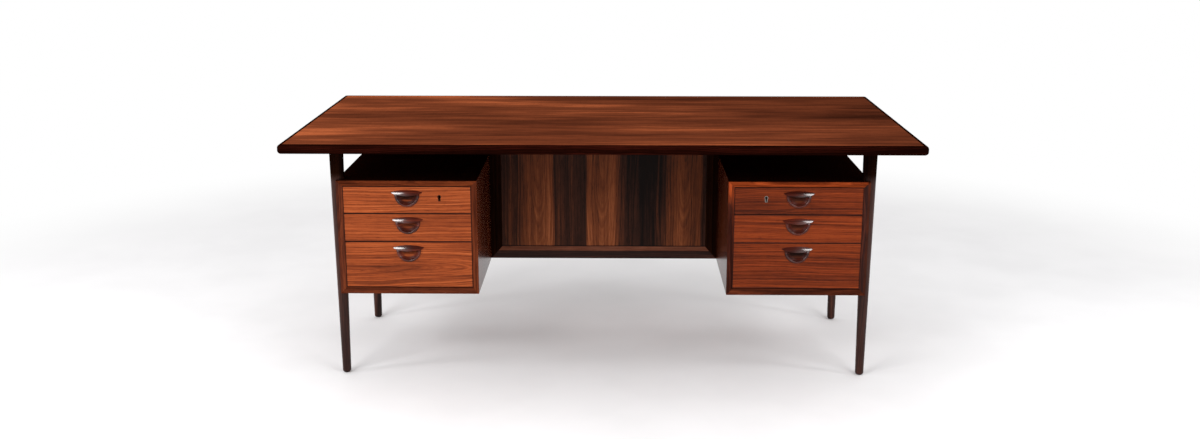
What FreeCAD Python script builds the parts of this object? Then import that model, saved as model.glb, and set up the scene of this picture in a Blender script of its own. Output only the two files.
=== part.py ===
import FreeCAD, Part
import math
import os
import re
import Sketcher

# A writing desk with drawers facing the chair and an open bookcase facing the visitor.
# Millimetres. The origin is on the floor under the middle of the desk top: X runs to the right
# of the person who sits at the desk's front, Y from that front to the back, Z up.

DIMENSIONS = {
    # Desk top
    "top_width": 1800,
    "top_depth": 900,
    "desk_height": 740,
    "top_thickness": 26,
    "lipping_width": 14,
    "tongue_depth": 6,
    "tongue_thickness": 6,
    "top_corner_radius": 12,
    "top_edge_radius": 9,
    # Legs and the bearers between their tops
    "leg_top_diameter": 42,
    "leg_foot_diameter": 25,
    "foot_rounding": 8,
    "leg_setback": 28,
    "bearer_thickness": 22,
    "bearer_height": 34,
    # Cases and the space between them
    "case_width": 411,
    "case_depth": 570,
    "case_height": 344,
    "top_gap": 111,
    "knee_width": 734,
    "knee_depth": 382,
    "board": 17,
    "edge_bevel": 9,
    "drawer_recess": 6,
    "partition_thickness": 8,
    "partition_groove": 5,
    # Frame and panel behind the knees
    "frame_thickness": 18,
    "stile_flat": 20,
    "stile_bevel": 16,
    "rail_flat": 25,
    "rail_bevel": 13,
    "frame_bevel_depth": 9,
    "knee_panel_thickness": 6,
    "knee_panel_groove": 6,
    # Drawers
    "top_front_height": 80,
    "middle_front_height": 83.5,
    "drawer_gap": 2,
    "side_reveal": 1.2,
    "front_thickness": 18,
    "front_housing": 8,
    "drawer_side_thickness": 12,
    "drawer_side_clearance": 1.5,
    "drawer_back_thickness": 10,
    "drawer_bottom_thickness": 4,
    "drawer_bottom_groove": 5,
    "drawer_bottom_rise": 6,
    "box_inset_low": 6,
    "box_inset_high": 10,
    "drawer_back_drop": 6,
    "drawer_rear_room": 20,
    "runner_height": 9,
    "runner_play": 0.3,
    "runner_groove": 6,
    "runner_front_gap": 2,
    # Half-moon pulls
    "pull_width": 88,
    "pull_rise": 7,
    "pull_drop": 44.5,
    "bowl_radius": 36.5,
    "pull_below_edge": 16.5,
    "pull_inlay": 10,
    "inlay_margin": 1,
    "lip_overhang": 1,
    "lip_tip_rise": 0.4,
    "lip_reach": 7.5,
    "lip_edge_drop": 10,
    "lip_axis_drop": 15,
    "lip_axis_back": 26,
    "rim_radius": 4,
    "dish_land": 1,
    "dish_depth": 8,
    "scoop_half_width": 24,
    "scoop_radius": 3,
    "scoop_drop": 4.5,
    "scoop_forward": 0.5,
    # Locks of the top drawers
    "keyhole_offset": 95,
    "keyhole_drop": 30,
    "keyhole_diameter": 8,
    "keyhole_slot": 4.5,
    "keyhole_length": 12,
    "escutcheon_rim": 1.25,
    "escutcheon_inlay": 1.5,
    "escutcheon_proud": 0.4,
    "lock_width": 50,
    "lock_height": 44,
    "lock_depth": 9,
    "bolt_width": 16,
    "bolt_thickness": 5,
    "bolt_height": 22,
    "bolt_play": 0.2,
    "bolt_below_edge": 0.5,
    "bolt_travel": 6,
    "mortise_room": 1.5,
    # Screws
    "screw_diameter": 4.5,
    "screw_head_diameter": 9,
    "screw_head_height": 3,
    "top_screw_length": 50,
    "top_screw_spacing": 150,
    "leg_screw_length": 30,
    "leg_screw_inset": 35,
}

# Places that follow from the driving dimensions
DERIVED = {
    "top_under": "desk_height - top_thickness",
    "case_out": "knee_width/2 + case_width",
    "case_mid": "knee_width/2 + case_width/2",
    "case_front": "-case_depth/2",
    "case_rear": "case_depth/2",
    "case_high": "top_under - top_gap",
    "case_underside": "case_high - case_height",
    "open_half": "case_width/2 - board",
    "open_low": "case_underside + board",
    "open_high": "case_high - board",
    "leg_y": "case_depth/2 - leg_setback",
    "frame_face": "case_front + knee_depth",
    "frame_back": "frame_face + frame_thickness",
    "frame_open_half": "knee_width/2 - stile_flat - stile_bevel",
    "frame_open_low": "case_underside + rail_flat + rail_bevel",
    "frame_open_high": "top_under - rail_flat - rail_bevel",
    "panel_face": "frame_face + frame_bevel_depth",
    "drawer_face": "case_front + drawer_recess",
    "front_back": "drawer_face + front_thickness",
    "box_half": "open_half - drawer_side_clearance",
    "box_inner_half": "box_half - drawer_side_thickness",
    "box_rear": "frame_face - drawer_rear_room",
    "bowl_centre": "bowl_radius - pull_drop",
    "inlay_radius": "bowl_radius - inlay_margin",
    "inlay_half": "sqrt(inlay_radius^2 - bowl_centre^2)",
    "inlay_rise": "pull_rise - 2*inlay_margin",
    "high_arc_radius": "(inlay_half^2 + inlay_rise^2)/(2*inlay_rise)",
    "dish_edge_radius": "bowl_radius - 2*rim_radius - dish_land",
    "dish_sphere_radius": "(dish_edge_radius^2 + dish_depth^2)/(2*dish_depth)",
    "lip_half": "pull_width/2 + lip_overhang",
    "lip_middle_radius": "sqrt(lip_axis_back^2 + (lip_axis_drop + pull_rise)^2)",
    "lip_tip_radius": "sqrt(lip_axis_back^2 + (lip_axis_drop + lip_tip_rise)^2)",
    "lip_swell": "lip_middle_radius - lip_tip_radius",
    "lip_arc_radius": "(lip_half^2 + lip_swell^2)/(2*lip_swell)",
    "bolt_middle": "front_back - lock_depth/2",
}

ALONG_X = FreeCAD.Rotation(FreeCAD.Vector(0, 1, 0), 90)
ALONG_Y = FreeCAD.Rotation(FreeCAD.Vector(1, 0, 0), -90)
TAPER_UP = FreeCAD.Rotation(FreeCAD.Vector(1, 0, 0), 90)
TAPER_SIDEWAYS = FreeCAD.Rotation(FreeCAD.Vector(0, 0, 1), -90)
UPRIGHT = FreeCAD.Rotation()

doc = FreeCAD.newDocument("DeskWithBookcase")
sheet = doc.addObject("Spreadsheet::Sheet", "Dimensions")
for row, (alias, size) in enumerate(DIMENSIONS.items(), start=1):
    sheet.set(f"A{row}", alias)
    sheet.set(f"B{row}", str(size))
    sheet.setAlias(f"B{row}", alias)
doc.recompute()

nodes = []


def expand(formula):
    """Write a formula in terms of the sheet's cells."""

    def swap(match):
        word = match.group()
        if word in DERIVED:
            return f"({expand(DERIVED[word])})"
        if word in DIMENSIONS:
            return f"Dimensions.{word}"
        return word

    return re.sub(r"[a-z_]+", swap, formula)


def bind(obj, **formulas):
    for prop, formula in formulas.items():
        obj.setExpression(prop, expand(formula))


def bind_constraints(sketch, formulas):
    bind(sketch, **{f"Constraints[{index}]": formula for index, formula in formulas.items()})


def place(obj, x="0", y="0", z="0", rotation=UPRIGHT):
    obj.Placement = FreeCAD.Placement(FreeCAD.Vector(), rotation)
    for axis, formula in zip("xyz", (x, y, z)):
        obj.setExpression(f"Placement.Base.{axis}", expand(formula))


def node(obj, label):
    """Make an object one of the desk's named pieces."""
    obj.Label = label
    nodes.append(obj)
    return obj


# Building blocks


def block(name, x, y, z):
    """A box between two formulas on each axis."""
    box = doc.addObject("Part::Box", name)
    lengths = [f"({high}) - ({low})" for low, high in (x, y, z)]
    bind(box, Length=lengths[0], Width=lengths[1], Height=lengths[2])
    place(box, x[0], y[0], z[0])
    return box


def frustum(name, near, far, y, rotation=UPRIGHT, at=("0", "0", "0")):
    """A six-sided block with one rectangle, (x, x, z, z), at y[0] and another at y[1]."""
    wedge = doc.addObject("Part::Wedge", name)
    bind(wedge, Ymin=y[0], Ymax=y[1])
    bind(wedge, Xmin=near[0], Xmax=near[1], Zmin=near[2], Zmax=near[3])
    bind(wedge, X2min=far[0], X2max=far[1], Z2min=far[2], Z2max=far[3])
    place(wedge, *at, rotation)
    return wedge


def cylinder(name, diameter, length, at, rotation=UPRIGHT):
    rod = doc.addObject("Part::Cylinder", name)
    bind(rod, Radius=f"({diameter})/2", Height=length)
    place(rod, *at, rotation)
    return rod


def cut(name, base, *tools):
    """The base with each tool taken away in turn."""
    result = base
    for count, tool in enumerate(tools):
        step = doc.addObject("Part::Cut", f"{name}_cut{count}")
        step.Base = result
        step.Tool = tool
        result = step
    return result


def fuse(name, *shapes):
    whole = doc.addObject("Part::MultiFuse", name)
    whole.Shapes = list(shapes)
    whole.Refine = True
    return whole


def common(name, first, second):
    shared = doc.addObject("Part::Common", name)
    shared.Base = first
    shared.Tool = second
    return shared


def group(name, pieces):
    """Separate solids that share one node."""
    compound = doc.addObject("Part::Compound", name)
    compound.Links = list(pieces)
    return compound


def instance(name, pattern, at):
    """A copy of a finished shape at another place."""
    copy = group(name, [pattern])
    place(copy, *at)
    return copy


def screw(name, length, at, rotation):
    """A screw with a sunk round head, whose flat lies at the given point."""
    head = cylinder(f"{name}_head", "screw_head_diameter", "screw_head_height", at, rotation)
    shank = cylinder(f"{name}_shank", "screw_diameter", length, at, rotation)
    return fuse(name, head, shank)


def mitred_ring(name, half, inner_half, low, inner_low, high, inner_high, y, middle="0"):
    """Bottom, top, left and right members of a rectangle, with their corners mitred."""
    depth = (f"-({y[1]})", f"-({y[0]})")
    outer_flat = (f"-({half})", half, *depth)
    inner_flat = (f"-({inner_half})", inner_half, *depth)
    outer_tall = (*depth, low, high)
    inner_tall = (*depth, inner_low, inner_high)
    low_rise = ("0", f"({inner_low}) - ({low})")
    high_rise = ("0", f"({high}) - ({inner_high})")
    side = ("0", f"({half}) - ({inner_half})")
    left = f"({middle}) - ({half})"
    right = f"({middle}) + ({inner_half})"
    members = {
        "bottom": (outer_flat, inner_flat, low_rise, TAPER_UP, (middle, "0", low)),
        "top": (inner_flat, outer_flat, high_rise, TAPER_UP, (middle, "0", inner_high)),
        "left": (outer_tall, inner_tall, side, TAPER_SIDEWAYS, (left, "0", "0")),
        "right": (inner_tall, outer_tall, side, TAPER_SIDEWAYS, (right, "0", "0")),
    }
    return {edge: frustum(f"{name}_{edge}_blank", *shape) for edge, shape in members.items()}


def flare(name, half, low, high, half_bevel, rise_bevel, y_wide, y_narrow, middle="0", rear=False):
    """The cutter that bevels a rectangular opening's edge from y_wide to y_narrow."""
    left, right = f"({middle}) - ({half})", f"({middle}) + ({half})"
    narrow = (left, right, low, high)
    wide = (
        f"{left} - {half_bevel}",
        f"{right} + {half_bevel}",
        f"({low}) - {rise_bevel}",
        f"({high}) + {rise_bevel}",
    )
    if rear:
        return frustum(name, narrow, wide, (y_narrow, y_wide))
    return frustum(name, wide, narrow, (y_wide, y_narrow))


# Desk top: a veneered panel inside four mitred, rounded lippings


def rounded_slab():
    body = doc.addObject("PartDesign::Body", "top_slab")
    plane = [p for p in body.Origin.OriginFeatures if p.Role == "XY_Plane"][0]
    sketch = body.newObject("Sketcher::SketchObject", "top_outline")
    sketch.AttachmentSupport = (plane, [""])
    sketch.MapMode = "FlatFace"
    half_width = DIMENSIONS["top_width"] / 2
    half_depth = DIMENSIONS["top_depth"] / 2
    corners = [(-1, -1), (1, -1), (1, 1), (-1, 1)]
    points = [FreeCAD.Vector(x * half_width, y * half_depth, 0) for x, y in corners]
    for start, end in zip(points, points[1:] + points[:1]):
        sketch.addGeometry(Part.LineSegment(start, end), False)
    for line in range(4):
        sketch.addConstraint(Sketcher.Constraint("Coincident", line, 2, (line + 1) % 4, 1))
    for line, direction in enumerate(("Horizontal", "Vertical", "Horizontal", "Vertical")):
        sketch.addConstraint(Sketcher.Constraint(direction, line))
    sketch.addConstraint(Sketcher.Constraint("Symmetric", 0, 1, 1, 2, -1, 1))
    width = sketch.addConstraint(Sketcher.Constraint("DistanceX", 0, 1, 0, 2, 2 * half_width))
    depth = sketch.addConstraint(Sketcher.Constraint("DistanceY", 1, 1, 1, 2, 2 * half_depth))
    bind_constraints(sketch, {width: "top_width", depth: "top_depth"})
    pad = body.newObject("PartDesign::Pad", "top_pad")
    pad.Profile = sketch
    bind(pad, Length="top_thickness")
    doc.recompute()
    corners = edges_of(pad, lambda edge: edge.BoundBox.ZLength > edge.BoundBox.DiagonalLength / 2)
    rounded = body.newObject("PartDesign::Fillet", "top_corners")
    rounded.Base = (pad, corners)
    bind(rounded, Radius="top_corner_radius")
    doc.recompute()
    rims = edges_of(rounded, lambda edge: edge.BoundBox.ZLength < 0.001)
    softened = body.newObject("PartDesign::Fillet", "top_edges")
    softened.Base = (rounded, rims)
    bind(softened, Radius="top_edge_radius")
    place(body, z="top_under")
    return body


def edges_of(feature, wanted):
    return [f"Edge{i}" for i, edge in enumerate(feature.Shape.Edges, start=1) if wanted(edge)]


def desk_top(top_screws):
    slab = rounded_slab()
    core_half_x = "top_width/2 - lipping_width"
    core_half_y = "top_depth/2 - lipping_width"
    core = block(
        "top_core",
        (f"-({core_half_x})", core_half_x),
        (f"-({core_half_y})", core_half_y),
        ("top_under", "desk_height"),
    )
    tongue_low = "top_under + (top_thickness - tongue_thickness)/2"
    tongue_z = (tongue_low, f"{tongue_low} + tongue_thickness")
    tongue_outer = block(
        "tongue_outer",
        (f"-({core_half_x})", core_half_x),
        (f"-({core_half_y})", core_half_y),
        tongue_z,
    )
    tongue_inner = block(
        "tongue_inner",
        (f"-({core_half_x} - tongue_depth)", f"{core_half_x} - tongue_depth"),
        (f"-({core_half_y} - tongue_depth)", f"{core_half_y} - tongue_depth"),
        tongue_z,
    )
    tongue = cut("tongue", tongue_outer, tongue_inner)
    panel = cut("desk_top_panel", core, tongue, *top_screws)
    ring = cut("lipping_ring", slab, cut("top_core_grooved", core, tongue))
    strips = []
    for name, sector in mitre_sectors().items():
        strips.append(common(f"lipping_{name}", ring, sector))
    node(panel, "desk_top_panel")
    node(group("lipping", strips), "desk_top_lipping")


def mitre_sectors():
    """Four prisms that part the lipping ring along its mitres."""
    inset = "lipping_width + tongue_depth"
    height = ("0", "top_thickness")
    flat = ("-top_width/2", "top_width/2", *height)
    flat_short = (f"-top_width/2 + {inset}", f"top_width/2 - ({inset})", *height)
    long = ("-top_depth/2", "top_depth/2", *height)
    long_short = (f"-top_depth/2 + {inset}", f"top_depth/2 - ({inset})", *height)
    reach = ("0", inset)
    half_turn = FreeCAD.Rotation(FreeCAD.Vector(0, 0, 1), 180)
    left_turn = FreeCAD.Rotation(FreeCAD.Vector(0, 0, 1), 90)
    sectors = {
        "front": (flat, flat_short, reach, UPRIGHT, ("0", "-top_depth/2", "top_under")),
        "rear": (flat, flat_short, reach, half_turn, ("0", "top_depth/2", "top_under")),
        "left": (long, long_short, reach, TAPER_SIDEWAYS, ("-top_width/2", "0", "top_under")),
        "right": (long, long_short, reach, left_turn, ("top_width/2", "0", "top_under")),
    }
    return {edge: frustum(f"sector_{edge}", *shape) for edge, shape in sectors.items()}


# Legs: round, tapered to the floor, with half their thickness cut away where the case sits


def leg(name, x_sign, y_sign, bearer, screws):
    x = f"{x_sign}*case_out"
    y = f"{y_sign}*leg_y"
    turned = doc.addObject("PartDesign::Body", f"{name}_turned")
    shaft = turned.newObject("PartDesign::AdditiveCone", f"{name}_shaft")
    bind(shaft, Radius1="leg_foot_diameter/2", Radius2="leg_top_diameter/2", Height="top_under")
    doc.recompute()
    foot = edges_of(shaft, lambda edge: edge.BoundBox.ZMax < DIMENSIONS["foot_rounding"])
    rounded = turned.newObject("PartDesign::Fillet", f"{name}_foot")
    rounded.Base = (shaft, foot)
    bind(rounded, Radius="foot_rounding")
    place(turned, x, y)
    notch_x = ("case_out - leg_top_diameter", "case_out")
    if x_sign < 0:
        notch_x = ("-case_out", "-case_out + leg_top_diameter")
    notch = block(
        f"{name}_notch",
        notch_x,
        (f"{y} - leg_top_diameter", f"{y} + leg_top_diameter"),
        ("case_underside", "case_high"),
    )
    return node(cut(name, turned, notch, bearer, *screws), name)


def side_bearer(name, x_sign):
    return block(
        name,
        (f"{x_sign}*case_out - bearer_thickness/2", f"{x_sign}*case_out + bearer_thickness/2"),
        ("-leg_y", "leg_y"),
        ("top_under - bearer_height", "top_under"),
    )


# Cases: four mitred boards with bevelled edges and a partition behind the drawers


def case(side, sign, leg_screws, mortise):
    middle = f"{sign}*case_mid"
    boards = mitred_ring(
        f"{side}_case",
        "case_width/2",
        "open_half",
        "case_underside",
        "open_low",
        "case_high",
        "open_high",
        ("case_front", "case_rear"),
        middle,
    )
    opening = ("open_half", "open_low", "open_high", "edge_bevel", "edge_bevel")
    front_flare = flare(f"{side}_front_flare", *opening, "case_front", "drawer_face", middle)
    rear_ends = ("case_rear", "case_rear - drawer_recess")
    rear_flare = flare(f"{side}_rear_flare", *opening, *rear_ends, middle, rear=True)
    partition = block(
        f"{side}_partition",
        (f"{middle} - open_half - partition_groove", f"{middle} + open_half + partition_groove"),
        ("frame_face", "frame_face + partition_thickness"),
        ("open_low - partition_groove", "open_high + partition_groove"),
    )
    outer, inner = ("left", "right") if sign < 0 else ("right", "left")
    roles = {"top": "top", "bottom": "bottom", outer: "outer_side", inner: "inner_side"}
    extra = {"top": [mortise], outer: leg_screws}
    for board, role in roles.items():
        label = f"{side}_case_{role}"
        tools = [front_flare, rear_flare, partition, *extra.get(board, [])]
        node(cut(label, boards[board], *tools), label)
    node(partition, f"{side}_case_partition")


# Bookcase between the cases: a mitred frame and panel towards the chair, open at the back


def knee_frame():
    members = mitred_ring(
        "knee_frame",
        "knee_width/2",
        "frame_open_half",
        "case_underside",
        "frame_open_low",
        "top_under",
        "frame_open_high",
        ("frame_face", "frame_back"),
    )
    opening = ("frame_open_half", "frame_open_low", "frame_open_high", "stile_bevel", "rail_bevel")
    bevel = flare("knee_frame_flare", *opening, "frame_face", "panel_face")
    panel = block(
        "knee_panel",
        ("-frame_open_half - knee_panel_groove", "frame_open_half + knee_panel_groove"),
        ("panel_face", "panel_face + knee_panel_thickness"),
        ("frame_open_low - knee_panel_groove", "frame_open_high + knee_panel_groove"),
    )
    roles = {"bottom": "bottom_rail", "top": "top_rail", "left": "left_stile", "right": "right_stile"}
    for member, role in roles.items():
        label = f"knee_frame_{role}"
        node(cut(label, members[member], bevel, panel), label)
    node(panel, "knee_panel")


def centre_bookcase():
    inner_half = "knee_width/2 - board"
    inner_high = "top_under - board"
    boards = mitred_ring(
        "bookcase",
        "knee_width/2",
        inner_half,
        "case_underside",
        "open_low",
        "top_under",
        inner_high,
        ("frame_back", "case_rear"),
    )
    opening = (inner_half, "open_low", inner_high, "edge_bevel", "edge_bevel")
    rear_flare = flare("bookcase_flare", *opening, "case_rear", "case_rear - drawer_recess", rear=True)
    roles = {"bottom": "bottom", "top": "top", "left": "left_side", "right": "right_side"}
    for board, role in roles.items():
        label = f"bookcase_{role}"
        node(cut(label, boards[board], rear_flare), label)


# Pulls: a half-moon let into the drawer front, with an eyelid-shaped lip over a dished hollow.
# The pattern's origin is the middle of the line between its tips, on the drawer's face.


def pull_outline():
    """The half-moon let into the front: a shallow arc above the tips, a deep one below them."""
    low_centre = ("0", "0", "bowl_centre")
    low_disc = cylinder("pull_low_disc", "2*inlay_radius", "pull_inlay", low_centre, ALONG_Y)
    high_centre = ("0", "0", "inlay_rise - high_arc_radius")
    high_disc = cylinder("pull_high_disc", "2*high_arc_radius", "pull_inlay", high_centre, ALONG_Y)
    span = ("-pull_width", "pull_width")
    depth = ("0", "pull_inlay")
    below = block("pull_below", span, depth, ("-pull_width", "0"))
    above = block("pull_above", span, depth, ("0", "pull_width"))
    low_part = common("pull_low_part", low_disc, below)
    high_part = common("pull_high_part", high_disc, above)
    return fuse("pull_outline", low_part, high_part)


def lip_barrel():
    """A barrel on an axis along X, which bulges from the tips' radius to the middle's."""
    half = DIMENSIONS["pull_width"] / 2 + DIMENSIONS["lip_overhang"]
    back, drop = DIMENSIONS["lip_axis_back"], DIMENSIONS["lip_axis_drop"]
    tip = math.hypot(back, drop + DIMENSIONS["lip_tip_rise"])
    middle = math.hypot(back, drop + DIMENSIONS["pull_rise"])
    sketch = doc.addObject("Sketcher::SketchObject", "lip_meridian")
    left, right = FreeCAD.Vector(-half, 0, 0), FreeCAD.Vector(half, 0, 0)
    left_top, right_top = FreeCAD.Vector(-half, tip, 0), FreeCAD.Vector(half, tip, 0)
    arc = Part.Arc(right_top, FreeCAD.Vector(0, middle, 0), left_top)
    sketch.addGeometry(Part.LineSegment(left, right), False)
    sketch.addGeometry(Part.LineSegment(right, right_top), False)
    sketch.addGeometry(arc, False)
    sketch.addGeometry(Part.LineSegment(left_top, left), False)
    for line in range(4):
        sketch.addConstraint(Sketcher.Constraint("Coincident", line, 2, (line + 1) % 4, 1))
    sketch.addConstraint(Sketcher.Constraint("Symmetric", 0, 1, 0, 2, -1, 1))
    sketch.addConstraint(Sketcher.Constraint("Horizontal", 0))
    sketch.addConstraint(Sketcher.Constraint("Vertical", 1))
    sketch.addConstraint(Sketcher.Constraint("Vertical", 3))
    width = sketch.addConstraint(Sketcher.Constraint("DistanceX", 0, 1, 0, 2, 2 * half))
    height = sketch.addConstraint(Sketcher.Constraint("DistanceY", 1, 1, 1, 2, tip))
    bulge = sketch.addConstraint(Sketcher.Constraint("Radius", 2, arc.toShape().Curve.Radius))
    bind_constraints(sketch, {width: "2*lip_half", height: "lip_tip_radius", bulge: "lip_arc_radius"})
    barrel = doc.addObject("Part::Revolution", "lip_barrel")
    barrel.Source = sketch
    barrel.Axis = FreeCAD.Vector(1, 0, 0)
    barrel.Angle = 360
    barrel.Solid = True
    place(barrel, "0", "lip_axis_back", "-lip_axis_drop")
    return barrel


def finger_scoop():
    """A round-ended groove along the underside of the lip."""
    reach = "(scoop_half_width - scoop_radius)"
    axis = ("-scoop_forward", "-scoop_drop")
    groove = cylinder("scoop_groove", "2*scoop_radius", f"2*{reach}", (f"-{reach}", *axis), ALONG_X)
    ends = []
    for name, x in (("left", f"-{reach}"), ("right", reach)):
        ball = doc.addObject("Part::Sphere", f"scoop_{name}_end")
        bind(ball, Radius="scoop_radius")
        place(ball, x, *axis)
        ends.append(ball)
    return fuse("finger_scoop", groove, *ends)


def pull_pattern(outline):
    """Lip, rim and plate in one piece, hollowed by the dish and by a scoop under the lip."""
    span = ("-pull_width", "pull_width")
    lower = ("-pull_width", "0")
    behind = block("lip_behind", span, ("0", "pull_width"), span)
    under_front = (*span, "-pull_width", "-2*lip_edge_drop")
    under = frustum("lip_under", under_front, (*span, *lower), ("-2*lip_reach", "0"))
    lip = cut("lip", lip_barrel(), behind, under)
    ring = doc.addObject("Part::Torus", "rim_ring")
    bind(ring, Radius1="bowl_radius - rim_radius", Radius2="rim_radius")
    place(ring, "0", "0", "bowl_centre", ALONG_Y)
    rim = common("rim", ring, under)
    ball = doc.addObject("Part::Sphere", "dish_ball")
    bind(ball, Radius="dish_sphere_radius")
    place(ball, "0", "dish_depth - dish_sphere_radius", "bowl_centre")
    dish = common("dish", ball, block("dish_room", span, ("0", "pull_inlay"), lower))
    carved = fuse("pull_carved", cut("pull_dished", outline, dish), rim, lip)
    return cut("pull_pattern", carved, finger_scoop())


# Locks: a lock let into the back of the front, with a bolt that shoots up into the case top


def keyhole(name, x, z, depth, extra):
    """Round eye and straight slot, as far as depth behind the face, grown by extra all round."""
    y = "drawer_face - escutcheon_proud"
    reach = f"escutcheon_proud + ({depth})"
    eye = cylinder(f"{name}_eye", f"keyhole_diameter + 2*({extra})", reach, (x, y, z), ALONG_Y)
    half_slot = f"(keyhole_slot/2 + {extra})"
    slot = block(
        f"{name}_slot",
        (f"{x} - {half_slot}", f"{x} + {half_slot}"),
        (y, f"{y} + {reach}"),
        (f"{z} - keyhole_length - {extra}", z),
    )
    return fuse(f"{name}_opening", eye, slot)


def lock(name, x, high):
    """The lock's nodes, and the cutters for the drawer front that carries it."""
    key_z = f"({high}) - keyhole_drop"
    hole = keyhole(f"{name}_keyhole", x, key_z, "front_thickness", "0")
    rim = keyhole(f"{name}_escutcheon", x, key_z, "escutcheon_inlay", "escutcheon_rim")
    body = block(
        f"{name}_body",
        (f"{x} - lock_width/2", f"{x} + lock_width/2"),
        ("front_back - lock_depth", "front_back"),
        (f"({high}) - lock_height", high),
    )
    bolt_half_x = "bolt_width/2"
    bolt_half_y = "bolt_thickness/2"
    bolt_top = f"({high}) - bolt_below_edge"
    bolt = block(
        f"{name}_bolt_bar",
        (f"{x} - {bolt_half_x}", f"{x} + {bolt_half_x}"),
        (f"bolt_middle - {bolt_half_y}", f"bolt_middle + {bolt_half_y}"),
        (f"{bolt_top} - bolt_height", bolt_top),
    )
    slot = block(
        f"{name}_bolt_slot",
        (f"{x} - {bolt_half_x} - bolt_play", f"{x} + {bolt_half_x} + bolt_play"),
        (f"bolt_middle - {bolt_half_y} - bolt_play", f"bolt_middle + {bolt_half_y} + bolt_play"),
        (f"{bolt_top} - bolt_height - bolt_play", high),
    )
    node(cut(f"{name}_case", body, slot, hole), f"{name}_case")
    node(bolt, f"{name}_bolt")
    node(cut(f"{name}_escutcheon", rim, hole), f"{name}_escutcheon")
    return [hole, rim, body]


def bolt_mortise(side, x):
    """Where the bolt enters the underside of the case top."""
    half_x = "(bolt_width/2 + mortise_room)"
    half_y = "(bolt_thickness/2 + mortise_room)"
    return block(
        f"{side}_bolt_mortise",
        (f"{x} - {half_x}", f"{x} + {half_x}"),
        (f"bolt_middle - {half_y}", f"bolt_middle + {half_y}"),
        ("open_high", "open_high + bolt_travel + mortise_room"),
    )


# Drawers: grooved sides that run on the case's runners, a back, and a bottom slid in under it


def drawer(name, x, low, high, pull_shapes, fittings):
    outline, pattern = pull_shapes
    pull_place = (x, "drawer_face", f"({high}) - pull_below_edge")
    pocket = instance(f"{name}_pull_pocket", outline, pull_place)
    front = block(
        f"{name}_front_blank",
        (f"{x} - open_half + side_reveal", f"{x} + open_half - side_reveal"),
        ("drawer_face", "front_back"),
        (low, high),
    )
    box_low = f"({low}) + box_inset_low"
    box_high = f"({high}) - box_inset_high"
    bottom_low = f"{box_low} + drawer_bottom_rise"
    bottom_high = f"{bottom_low} + drawer_bottom_thickness"
    bottom_half = "(box_inner_half + drawer_bottom_groove)"
    bottom = block(
        f"{name}_bottom",
        (f"{x} - {bottom_half}", f"{x} + {bottom_half}"),
        ("front_back - drawer_bottom_groove", "box_rear"),
        (bottom_low, bottom_high),
    )
    back = block(
        f"{name}_back",
        (f"{x} - box_inner_half", f"{x} + box_inner_half"),
        ("box_rear - drawer_back_thickness", "box_rear"),
        (bottom_high, f"{box_high} - drawer_back_drop"),
    )
    board_y = ("front_back - front_housing", "box_rear")
    groove_half = "(runner_height/2 + runner_play)"
    middle = f"(({low}) + ({high}))/2"
    sides = []
    for hand, sign in (("left", -1), ("right", 1)):
        outer, inner = f"{x} + {sign}*box_half", f"{x} + {sign}*box_inner_half"
        groove_inner = f"{x} + {sign}*(box_half - runner_groove)"
        board_x = (inner, outer) if sign > 0 else (outer, inner)
        groove_x = (groove_inner, outer) if sign > 0 else (outer, groove_inner)
        board = block(f"{name}_{hand}", board_x, board_y, (box_low, box_high))
        groove = block(
            f"{name}_{hand}_groove",
            groove_x,
            ("front_back", "box_rear"),
            (f"{middle} - {groove_half}", f"{middle} + {groove_half}"),
        )
        sides.append((board, cut(f"{name}_{hand}_side", board, groove, bottom)))
    blanks = [board for board, grooved in sides]
    node(cut(f"{name}_front", front, pocket, *blanks, bottom, *fittings), f"{name}_front")
    node(group(f"{name}_box", [grooved for board, grooved in sides] + [back]), f"{name}_box")
    node(bottom, f"{name}_bottom")
    node(instance(f"{name}_pull", pattern, pull_place), f"{name}_pull")
    return middle


def runner_pair(name, x, middle):
    """Two strips on the case sides, which stand in the grooves of the drawer sides."""
    reach = "(drawer_side_clearance + runner_groove - runner_play)"
    length = ("front_back + runner_front_gap", "frame_face")
    height = (f"{middle} - runner_height/2", f"{middle} + runner_height/2")
    left = block(f"{name}_left", (f"{x} - open_half", f"{x} - open_half + {reach}"), length, height)
    right = block(f"{name}_right", (f"{x} + open_half - {reach}", f"{x} + open_half"), length, height)
    return [left, right]


def drawer_stack(side, sign, pull_shapes):
    x = f"{sign}*case_mid"
    key_x = f"{sign}*(case_mid - keyhole_offset)"
    top_high = "open_high - drawer_gap"
    top_low = f"{top_high} - top_front_height"
    middle_high = f"{top_low} - drawer_gap"
    middle_low = f"{middle_high} - middle_front_height"
    tiers = {
        "top": (top_low, top_high),
        "middle": (middle_low, middle_high),
        "bottom": ("open_low + drawer_gap", f"{middle_low} - drawer_gap"),
    }
    runners = []
    for tier, (low, high) in tiers.items():
        name = f"{side}_{tier}_drawer"
        fittings = lock(f"{side}_lock", key_x, high) if tier == "top" else []
        middle = drawer(name, x, low, high, pull_shapes, fittings)
        runners += runner_pair(f"{name}_runner", x, middle)
    node(group(f"{side}_runners", runners), f"{side}_case_runners")
    return bolt_mortise(side, key_x)


def leg_screws(side, sign):
    """Screws from inside the case into its legs, front pair first."""
    x = f"{sign}*(case_out - board)"
    rotation = FreeCAD.Rotation(FreeCAD.Vector(0, 1, 0), 90 * sign)
    heights = ("case_underside + leg_screw_inset", "case_high - leg_screw_inset")
    made = {}
    for end, y in (("front", "-leg_y"), ("rear", "leg_y")):
        made[end] = [
            screw(f"{side}_{end}_leg_screw{i}", "leg_screw_length", (x, y, z), rotation)
            for i, z in enumerate(heights)
        ]
    return made


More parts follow.
